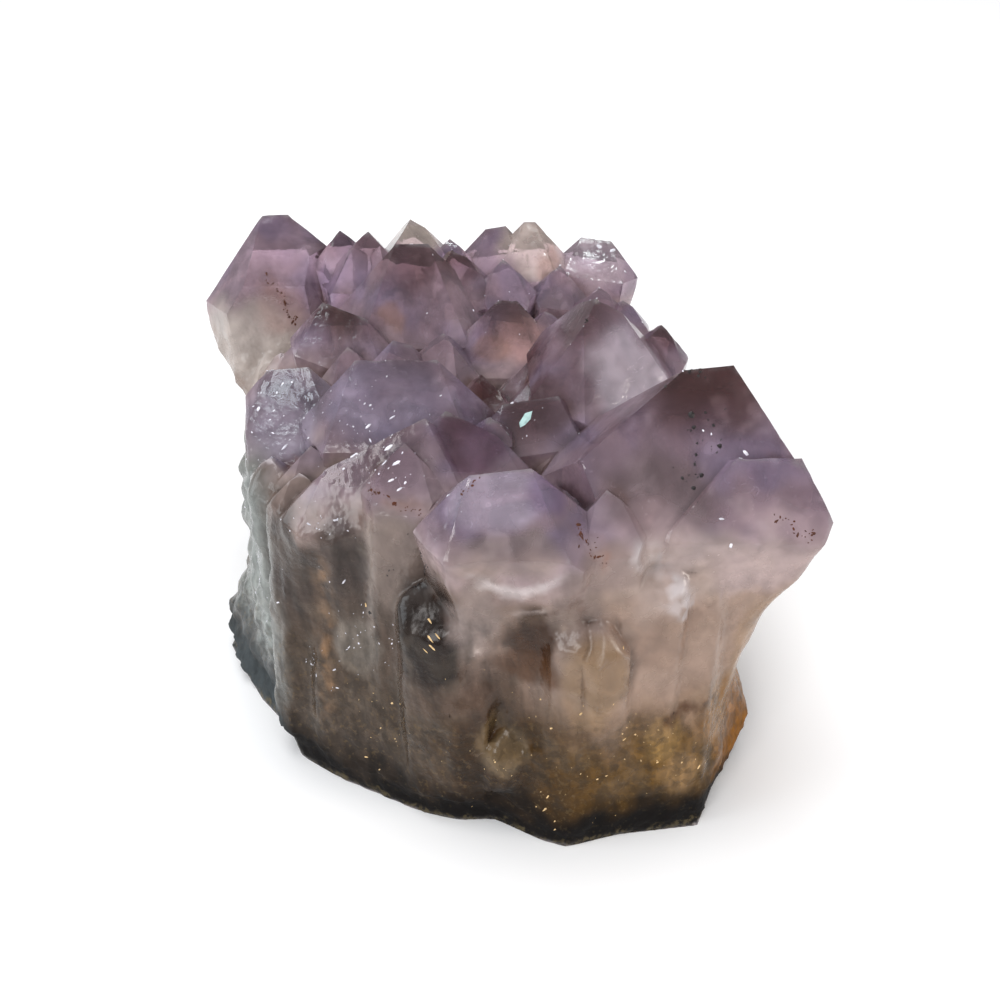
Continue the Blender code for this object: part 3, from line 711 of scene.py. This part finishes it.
class Tree:
    """A material with one shader, and short words for building its nodes.

    The limits that ramp, fall and span are called with are values of a noise or of a layer
    of the skin, most of which run from 0 to 1.
    """

    def __init__(self, name):
        self.material = bpy.data.materials.new(name)
        self.material.use_nodes = True
        self.tree = self.material.node_tree
        self.tree.nodes.clear()
        self.out = self.add("ShaderNodeOutputMaterial")
        self.shader = self.add("ShaderNodeBsdfPrincipled")
        self.feed(self.out.inputs["Surface"], self.shader.outputs[0])

    def shade(self, name, value):
        """Feed an input of the shader."""
        self.feed(self.shader.inputs[name], value)

    def add(self, kind, **settings):
        """A new node with its settings."""
        node = self.tree.nodes.new(kind)
        for key, value in settings.items():
            setattr(node, key, value)
        return node

    def feed(self, target, value):
        """Link an input to another node, or set it to a constant."""
        if isinstance(value, bpy.types.NodeSocket):
            self.tree.links.new(value, target)
        elif target.type == "RGBA":
            target.default_value = (*value, 1.0)
        else:
            target.default_value = value

    def math(self, operation, first, second=0.0):
        """A number from one or two others."""
        node = self.add("ShaderNodeMath", operation=operation)
        self.feed(node.inputs[0], first)
        self.feed(node.inputs[1], second)
        return node.outputs[0]

    def times(self, first, *others):
        """The product of numbers."""
        for other in others:
            first = self.math("MULTIPLY", first, other)
        return first

    def without(self, share):
        """What a share leaves of 1."""
        return self.math("SUBTRACT", 1.0, share)

    def span(self, value, low, high, first, last, kind="LINEAR"):
        """A climb from first to last as the value goes from low to high."""
        node = self.add("ShaderNodeMapRange", interpolation_type=kind)
        self.feed(node.inputs["Value"], value)
        node.inputs["From Min"].default_value = low
        node.inputs["From Max"].default_value = high
        node.inputs["To Min"].default_value = first
        node.inputs["To Max"].default_value = last
        return node.outputs["Result"]

    def ramp(self, value, low, high):
        """0 below low, 1 above high, smooth between."""
        return self.span(value, low, high, 0.0, 1.0, "SMOOTHSTEP")

    def fall(self, value, low, high):
        """1 below low, 0 above high, smooth between."""
        return self.span(value, low, high, 1.0, 0.0, "SMOOTHSTEP")

    def mix(self, share, first, second):
        """A colour between two."""
        node = self.add("ShaderNodeMix", data_type="RGBA")
        self.feed(node.inputs[0], share)
        self.feed(node.inputs[6], first)
        self.feed(node.inputs[7], second)
        return node.outputs[2]

    def blend(self, share, first, second):
        """A number between two."""
        node = self.add("ShaderNodeMix", data_type="FLOAT")
        self.feed(node.inputs[0], share)
        self.feed(node.inputs[2], first)
        self.feed(node.inputs[3], second)
        return node.outputs[0]

    def brighter(self, colour, factor):
        """A colour times a number."""
        node = self.add("ShaderNodeVectorMath", operation="SCALE")
        self.feed(node.inputs[0], colour)
        self.feed(node.inputs["Scale"], factor)
        return node.outputs[0]

    def layer(self, name, output="Fac"):
        """A value stored on the skin."""
        return self.add("ShaderNodeAttribute", attribute_name=name).outputs[output]

    def layout(self):
        """The place on the skin in layout millimetres."""
        node = self.add("ShaderNodeVectorMath", operation="MULTIPLY_ADD")
        self.feed(node.inputs[0], self.add("ShaderNodeTexCoord").outputs["Object"])
        node.inputs[1].default_value = (1.0 / MM, 1.0 / MM, 1.0 / MM)
        node.inputs[2].default_value = LAYOUT_SHIFT
        return node.outputs[0]

    def laid(self, where, angles, factors):
        """The place turned by angles in radians, then each axis scaled."""
        turn = self.add("ShaderNodeVectorRotate", rotation_type="EULER_XYZ")
        self.feed(turn.inputs["Vector"], where)
        turn.inputs["Rotation"].default_value = angles
        scale = self.add("ShaderNodeVectorMath", operation="MULTIPLY")
        self.feed(scale.inputs[0], turn.outputs[0])
        scale.inputs[1].default_value = factors
        return scale.outputs[0]

    def noise(self, where, size, detail, rough=0.55):
        """Noise from 0 to 1 with features of the given size, in the units of the place."""
        node = self.add("ShaderNodeTexNoise")
        self.feed(node.inputs["Vector"], where)
        node.inputs["Scale"].default_value = 1.0 / size
        node.inputs["Detail"].default_value = detail
        node.inputs["Roughness"].default_value = rough
        return node.outputs["Fac"]

    def random_cells(self, where, size):
        """One random number per cell of the given size in millimetres."""
        node = self.add("ShaderNodeTexVoronoi")
        self.feed(node.inputs["Vector"], where)
        node.inputs["Scale"].default_value = 1.0 / size
        parts = self.add("ShaderNodeSeparateColor")
        self.feed(parts.inputs[0], node.outputs["Color"])
        return parts.outputs[0]


def mottled(tree, at, side, cloud):
    """The painted colour with clouds and upright streaks: strong, or soft in calm places."""
    tint = tree.layer("tint", "Vector")
    streak = tree.noise(tree.laid(at, STREAK_TURN, STREAK_DRAWN), STREAK_SIZE, detail=2.0)
    streaky = tree.math("ADD", tree.times(cloud, 0.4), tree.times(streak, 0.6))
    mottle = tree.blend(side, tree.span(cloud, 0.25, 0.75, *TIP_CLOUDS), streaky)
    strong = tree.brighter(tint, tree.span(mottle, 0.3, 0.7, *STRONG_MOTTLE))
    soft = tree.brighter(tint, tree.span(tree.layer("swirl"), -0.5, 0.5, *SOFT_MOTTLE))
    return tree.mix(tree.layer("calm"), strong, soft)


def wisps_inside(tree, at, side, rind, grit):
    """The share of pale wisps: hairline cracks, haze and milk, fewer on the walls."""
    wisp = tree.noise(tree.laid(at, WISP_TURN, WISP_DRAWN), WISP_SIZE, detail=2.0)
    off_crack = tree.math("ABSOLUTE", tree.math("SUBTRACT", wisp, 0.5))
    hair = tree.times(tree.fall(off_crack, 0.0, 0.012), HAIR_SHARE, tree.ramp(grit, 0.5, 0.6))
    haze = tree.times(tree.ramp(wisp, 0.52, 0.72), HAZE_SHARE)
    milk = tree.times(tree.layer("milk"), MILK_SHARE)
    wisps = tree.math("MAXIMUM", tree.math("MAXIMUM", hair, haze), milk)
    return tree.times(wisps, tree.blend(side, WISPS_ON_TIPS, WISPS_ON_WALLS), tree.without(rind))


def with_low_grains(tree, colour, at, cloud, grit):
    """The colour of the low walls, broken into light, gilded and shaded grains."""
    low = tree.layer("low")
    cell = tree.random_cells(at, CELL_SIZE)
    colour = tree.brighter(colour, tree.blend(low, 1.0, tree.span(cell, 0, 1, *CELL_BRIGHTNESS)))
    gilded = tree.times(low, tree.ramp(grit, 0.55, 0.68), GOLD_SHARE)
    shaded = tree.times(low, tree.ramp(cloud, 0.5, 0.62), SHADE_SHARE)
    return tree.mix(shaded, tree.mix(gilded, colour, GOLD), SHADE)


def crust_share(tree, at, cloud, grit):
    """The share of the rusty crust along the rind's lower edge."""
    level = tree.add("ShaderNodeSeparateXYZ")
    tree.feed(level.inputs[0], at)
    wander = tree.times(tree.math("SUBTRACT", cloud, 0.5), CRUST_WANDER)
    height = tree.math("ADD", level.outputs[2], wander)
    return tree.times(tree.fall(height, *CRUST_ENDS), tree.ramp(grit, 0.40, 0.56))


def with_rind_flecks(tree, colour, rind, crust, grit):
    """The colour with the crust, and with flecks of it on the rest of the rind."""
    colour = tree.mix(tree.times(crust, CRUST_SHARE), colour, CRUST)
    flecks = tree.times(rind, tree.ramp(grit, 0.58, 0.7), FLECK_SHARE)
    return tree.mix(flecks, colour, CRUST)


def with_seams(tree, colour, side, cloud):
    """The colour with painted shade in the grooves, with rusty grooves, and with a painted highlight
    along the tips' edges.
    """
    top = tree.without(side)
    groove = tree.layer("groove")
    # Painted shade: the grooves between the crystals are darkened
    colour = tree.brighter(colour, tree.span(groove, 0.1, 0.8, 1.0, DEEPEST_GROOVE_SHADE))
    stain = tree.times(groove, tree.layer("stained"), top, IRON_SHARE)
    colour = tree.mix(stain, colour, IRON)
    # Painted highlight: a pale line along the tips' convex edges
    edge_highlight = tree.times(tree.ramp(tree.layer("edge"), 0.5, 0.9), tree.ramp(cloud, 0.35, 0.57))
    return tree.mix(tree.times(edge_highlight, top, EDGE_HIGHLIGHT_SHARE), colour, FROST_AND_HIGHLIGHT)


def quartz_material():
    """Purple quartz turning milky, smoky and opaque downwards."""
    tree = Tree("amethyst")
    at = tree.layout()
    side = tree.layer("side")
    rind = tree.layer("rind")
    cloud = tree.noise(at, CLOUD_SIZE, detail=2.5, rough=0.65)
    grit = tree.noise(at, GRIT_SIZE, detail=2.0, rough=0.7)

    wisps = wisps_inside(tree, at, side, rind, grit)
    crust = crust_share(tree, at, cloud, grit)
    frost = tree.mix(tree.times(side, WARM_ON_WALLS), FROST_AND_HIGHLIGHT, WARM_FROST)
    colour = tree.mix(wisps, mottled(tree, at, side, cloud), frost)
    colour = with_low_grains(tree, colour, at, cloud, grit)
    colour = with_rind_flecks(tree, colour, rind, crust, grit)
    tree.shade("Base Color", with_seams(tree, colour, side, cloud))

    opaque = tree.math("MAXIMUM", wisps, crust)
    clear = tree.times(tree.layer("clear"), tree.fall(opaque, 0.0, 0.45))
    tree.shade("Transmission Weight", clear)
    tips = tree.span(cloud, 0.35, 0.65, *TIP_ROUGHNESS)
    walls = tree.span(cloud, 0.35, 0.65, *WALL_ROUGHNESS)
    roughness = tree.blend(tree.math("MAXIMUM", side, tree.layer("crisp")), tips, walls)
    tree.shade("Roughness", tree.blend(rind, roughness, RIND_ROUGHNESS))
    tree.shade("IOR", QUARTZ_IOR)
    tree.shade("Specular IOR Level", QUARTZ_SPECULAR)

    ripple = tree.noise(at, RIPPLE_SIZE, detail=1.0)
    bump = tree.add("ShaderNodeBump")
    bump.inputs["Distance"].default_value = MM
    tree.feed(bump.inputs["Height"], tree.times(ripple, tree.blend(side, TIP_RIPPLE, WALL_RIPPLE)))
    tree.shade("Normal", bump.outputs[0])

    inside = tree.add("ShaderNodeVolumeAbsorption")
    tree.feed(inside.inputs["Color"], ABSORPTION_COLOUR)
    inside.inputs["Density"].default_value = ABSORPTION_DENSITY
    tree.feed(tree.out.inputs["Volume"], inside.outputs[0])
    return tree.material


# Grains

# Smallest and largest half width of random grains, in millimetres
CLOUD_SPECK_SIZES = (0.08, 0.24)
LINE_SPECK_SIZES = (0.07, 0.18)
RUST_SIZES = (0.07, 0.26)
GLINT_SIZES = (0.05, 0.20)
# Each piece of grains: colour, roughness, height against half the width, and seed
GRAIN_KINDS = {
    "black_specks": ((24, 15, 16), 0.4, 0.5, 1),
    "iron_rust": ((80, 46, 32), 0.7, 0.5, 2),
    # The white and gilt glints are grains that stand for highlights: painted highlights
    "painted_white_glints": ((232, 230, 240), 0.08, 0.35, 3),
    "painted_gilt_glints": ((226, 190, 136), 0.15, 0.4, 4),
    # The cyan glint is a grain that stands for a light's flash off a facet: a painted reflection
    "painted_cyan_glint": ((196, 232, 228), 0.08, 0.2, 5),
}
STREWING_SEED = 11
# A grain's corners lie between these shares of its half length and half width
UNEVEN = (0.55, 1.2)
# A strewn grain lies along this heading, give or take
HEADING = (0.7, 0.1, 0.9)
HEADING_STRAY = 0.6
# Lengths of grains against their width, strewn and in lines
STREWN_LENGTHS = (1.0, 2.6)
LINE_LENGTHS = (1.0, 2.2)
# Grains differ over patches of this size in millimetres: in brightness, and in roughness from
# once to this many times their own
PATCH_SIZE = 1.2
PATCH_BRIGHTNESS = (0.6, 1.2)
DULLEST = 1.6


class Seats:
    """Finds the points of the skin that lie nearest to given places."""

    def __init__(self, mesh):
        corners = [vert.co.copy() for vert in mesh.vertices]
        self.tree = BVHTree.FromPolygons(corners, [tuple(face.vertices) for face in mesh.polygons])

    def near(self, spot):
        """The nearest point and its normal, for a place of the layout in millimetres."""
        return self.tree.find_nearest(place(*spot))[:2]


def add_grain(bm, seat, heading, half_length, half_width, thick, rng):
    """A small uneven lozenge lying half in the skin, drawn out along its heading."""
    point, normal = seat
    along = (heading - normal * heading.dot(normal)).normalized()
    across = normal.cross(along)
    rim = []
    for step in range(6):
        turn = step * math.pi / 3
        reach = rng.uniform(*UNEVEN) * MM
        side = along * (half_length * math.cos(turn)) + across * (half_width * math.sin(turn))
        rim.append(bm.verts.new(point + side * reach))
    top = bm.verts.new(point + normal * thick * MM)
    foot = bm.verts.new(point - normal * thick * MM)
    for step in range(6):
        here, there = rim[step], rim[(step + 1) % 6]
        bm.faces.new((here, there, top))
        bm.faces.new((there, here, foot))


def grain_material(name, colour, roughness):
    """The finish of the grains, lighter and darker from one grain to the next."""
    tree = Tree(name)
    where = tree.add("ShaderNodeTexCoord").outputs["Object"]
    patch = tree.noise(where, PATCH_SIZE * MM, detail=1.0)
    brightness = tree.span(patch, 0.3, 0.7, *PATCH_BRIGHTNESS)
    tree.shade("Base Color", tree.brighter(tuple(linear(colour)), brightness))
    dull = min(1.0, DULLEST * roughness)
    tree.shade("Roughness", tree.span(patch, 0.3, 0.7, roughness, dull))
    return tree.material


def grains(name, seats, spots):
    """One piece of many grains. Each spot is a centre, a heading, half a length and half a width."""
    colour, roughness, flat, seed = GRAIN_KINDS[name]
    rng = np.random.default_rng(seed)
    bm = bmesh.new()
    for centre, heading, half_length, half_width in spots:
        heading = Vector(heading if heading is not None else rng.normal(size=3))
        seat = seats.near(centre)
        if seat[0].z > GRAIN_FLOOR * MM:
            add_grain(bm, seat, heading, half_length, half_width, flat * half_width, rng)
    mesh = bpy.data.meshes.new(name)
    bm.to_mesh(mesh)
    bm.free()
    piece = bpy.data.objects.new(name, mesh)
    bpy.context.scene.collection.objects.link(piece)
    mesh.materials.append(grain_material(name, colour, roughness))
    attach(piece, "root")


def strewn(rng, clouds, smallest, largest):
    """Grains at random places of each cloud."""
    spots = []
    for name, centre, reach, count in clouds:
        for _ in range(count):
            spot = np.array(centre) + rng.normal(size=3) * reach * 0.5
            size = smallest + (largest - smallest) * rng.random() ** 3
            heading = np.array(HEADING) + HEADING_STRAY * rng.normal(size=3)
            spots.append((spot, heading, size * rng.uniform(*STREWN_LENGTHS), size))
    return spots


def lined_up(rng, lines, smallest, largest):
    """Grains along each line, straying from it by random steps."""
    spots = []
    for name, start, end, stray, count in lines:
        drift = np.zeros(3)
        for step in range(count):
            drift = 0.8 * drift + 0.5 * stray * rng.normal(size=3)
            spot = np.array(start) + (np.array(end) - start) * (step / (count - 1)) + drift
            size = smallest + (largest - smallest) * rng.random() ** 2
            spots.append((spot, None, size * rng.uniform(*LINE_LENGTHS), size))
    return spots


def drawn_out(dashes):
    """Long grains from one end to the other."""
    spots = []
    for start, end, half_width in dashes:
        way = Vector(end) - Vector(start)
        spots.append(((Vector(start) + Vector(end)) / 2, way, way.length / 2, half_width))
    return spots


def add_grains(skin_mesh):
    """Black specks, iron rust, and grains that are painted highlights and a painted reflection."""
    rng = np.random.default_rng(STREWING_SEED)
    seats = Seats(skin_mesh)
    black = [(centre, None, radius, radius) for centre, radius in SPECKS]
    black += strewn(rng, SPECK_CLOUDS, *CLOUD_SPECK_SIZES)
    black += lined_up(rng, SPECK_LINES, *LINE_SPECK_SIZES)
    grains("black_specks", seats, black)
    grains("iron_rust", seats, lined_up(rng, RUST_SEAMS, *RUST_SIZES))
    # White and gilt grains: painted highlights
    white = [(centre, None, 1.4 * radius, 0.8 * radius) for centre, radius in GLINTS]
    white += drawn_out(GLINT_DASHES) + strewn(rng, GLINT_CLOUDS, *GLINT_SIZES)
    grains("painted_white_glints", seats, white)
    grains("painted_gilt_glints", seats, drawn_out(GILT_DASHES) + strewn(rng, GILT_CLOUDS, *GLINT_SIZES))
    # A cyan grain: painted reflection
    grains("painted_cyan_glint", seats, drawn_out(CYAN_DASHES))


# Stage

# The floor reaches this far each way, in millimetres
FLOOR_REACH = 3000.0
FLOOR_COLOUR = (0.96, 0.96, 0.96)
FLOOR_ROUGHNESS = 0.8
AIR_COLOUR = (0.95, 0.96, 1.0)
AIR_STRENGTH = 0.48
# How often light turns: in all, through quartz and off dull surfaces
BOUNCES = 8
QUARTZ_BOUNCES = 6
DULL_BOUNCES = 2
# Soft square lights: name, spot and aim, size in millimetres, watts and colour
LIGHTS = [
    ("top softbox", (-140, 210, 1080), (0, 0, 30), 770, 7.0, (1.0, 1.0, 1.0)),
    ("front fill", (-525, -1155, 730), (0, 0, 30), 630, 8.2, (1.0, 0.98, 0.97)),
    ("right lamp", (980, -315, 380), (0, 0, 30), 315, 3.6, (1.0, 0.92, 0.84)),
    ("left window", (-1050, -210, 415), (0, 0, 30), 560, 4.0, (0.88, 0.95, 1.0)),
    ("cool glint", (-169, -266, 430), (-30, -5, 52), 40, 0.05, (0.86, 0.95, 1.0)),
    ("high glint", (45, -121, 512), (17, 36, 59), 11, 0.04, (0.9, 1.0, 1.0)),
]


def lights():
    """Every light of the table, out of the camera's sight."""
    for name, spot, aim, size, power, colour in LIGHTS:
        data = bpy.data.lights.new(name, "AREA")
        data.size = size * MM
        data.energy = power
        data.color = colour
        light = bpy.data.objects.new(name, data)
        light.location = place(*spot)
        light.visible_camera = False
        light.rotation_euler = (place(*aim) - light.location).to_track_quat("-Z", "Y").to_euler()
        bpy.context.scene.collection.objects.link(light)


def pale_floor():
    """The wide pale floor under the cluster."""
    mesh = bpy.data.meshes.new("floor")
    corners = [(-1, -1), (1, -1), (1, 1), (-1, 1)]
    corners = [place(FLOOR_REACH * x, FLOOR_REACH * y, 0) for x, y in corners]
    mesh.from_pydata(corners, [], [(0, 1, 2, 3)])
    floor = bpy.data.objects.new("floor", mesh)
    bpy.context.scene.collection.objects.link(floor)
    tree = Tree("pale floor")
    tree.shade("Base Color", FLOOR_COLOUR)
    tree.shade("Roughness", FLOOR_ROUGHNESS)
    mesh.materials.append(tree.material)


def studio():
    """An even pale surrounding, and how often light turns."""
    scene = bpy.context.scene
    world = bpy.data.worlds.new("studio air")
    world.use_nodes = True
    air = world.node_tree.nodes["Background"]
    air.inputs["Color"].default_value = (*AIR_COLOUR, 1.0)
    air.inputs["Strength"].default_value = AIR_STRENGTH
    scene.world = world
    scene.cycles.max_bounces = BOUNCES
    scene.cycles.transmission_bounces = QUARTZ_BOUNCES
    scene.cycles.diffuse_bounces = DULL_BOUNCES


def camera():
    """The camera at the photograph's viewing angle."""
    forward = Vector((0, math.cos(CAMERA_ELEVATION), -math.sin(CAMERA_ELEVATION)))
    data = bpy.data.cameras.new("camera")
    data.sensor_width = SENSOR_MM
    data.lens = LENS_MM
    data.clip_start = CLIP_START
    data.clip_end = CLIP_END
    view = bpy.data.objects.new("camera", data)
    view.location = place(*(CAMERA_AIM - CAMERA_DISTANCE * forward))
    view.rotation_euler = forward.to_track_quat("-Z", "Y").to_euler()
    bpy.context.scene.collection.objects.link(view)
    bpy.context.scene.camera = view


def crystal_skin(node):
    """The cluster's skin: the solid cut small, painted, softened and given its relief."""
    piece = skin_of(node, "crystal_skin")
    skin = Skin(piece.data)
    paint(skin)
    soften(skin)
    skin.write_back()
    skin = Skin(piece.data)
    relief(skin)
    skin.write_back()
    piece.data.materials.append(quartz_material())
    return piece


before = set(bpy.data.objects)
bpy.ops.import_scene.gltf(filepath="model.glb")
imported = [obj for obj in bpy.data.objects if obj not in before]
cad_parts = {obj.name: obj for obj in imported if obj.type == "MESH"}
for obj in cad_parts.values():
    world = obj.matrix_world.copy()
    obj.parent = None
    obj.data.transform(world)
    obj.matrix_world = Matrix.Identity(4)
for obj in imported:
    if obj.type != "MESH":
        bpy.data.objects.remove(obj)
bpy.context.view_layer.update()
camera()
pale_floor()
studio()
lights()
crystals = crystal_skin(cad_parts["amethyst_cluster"])
add_grains(crystals.data)
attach(crystals, "root")
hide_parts("amethyst_cluster")
bpy.context.scene.view_settings.view_transform = "Standard"
bpy.context.view_layer.update()
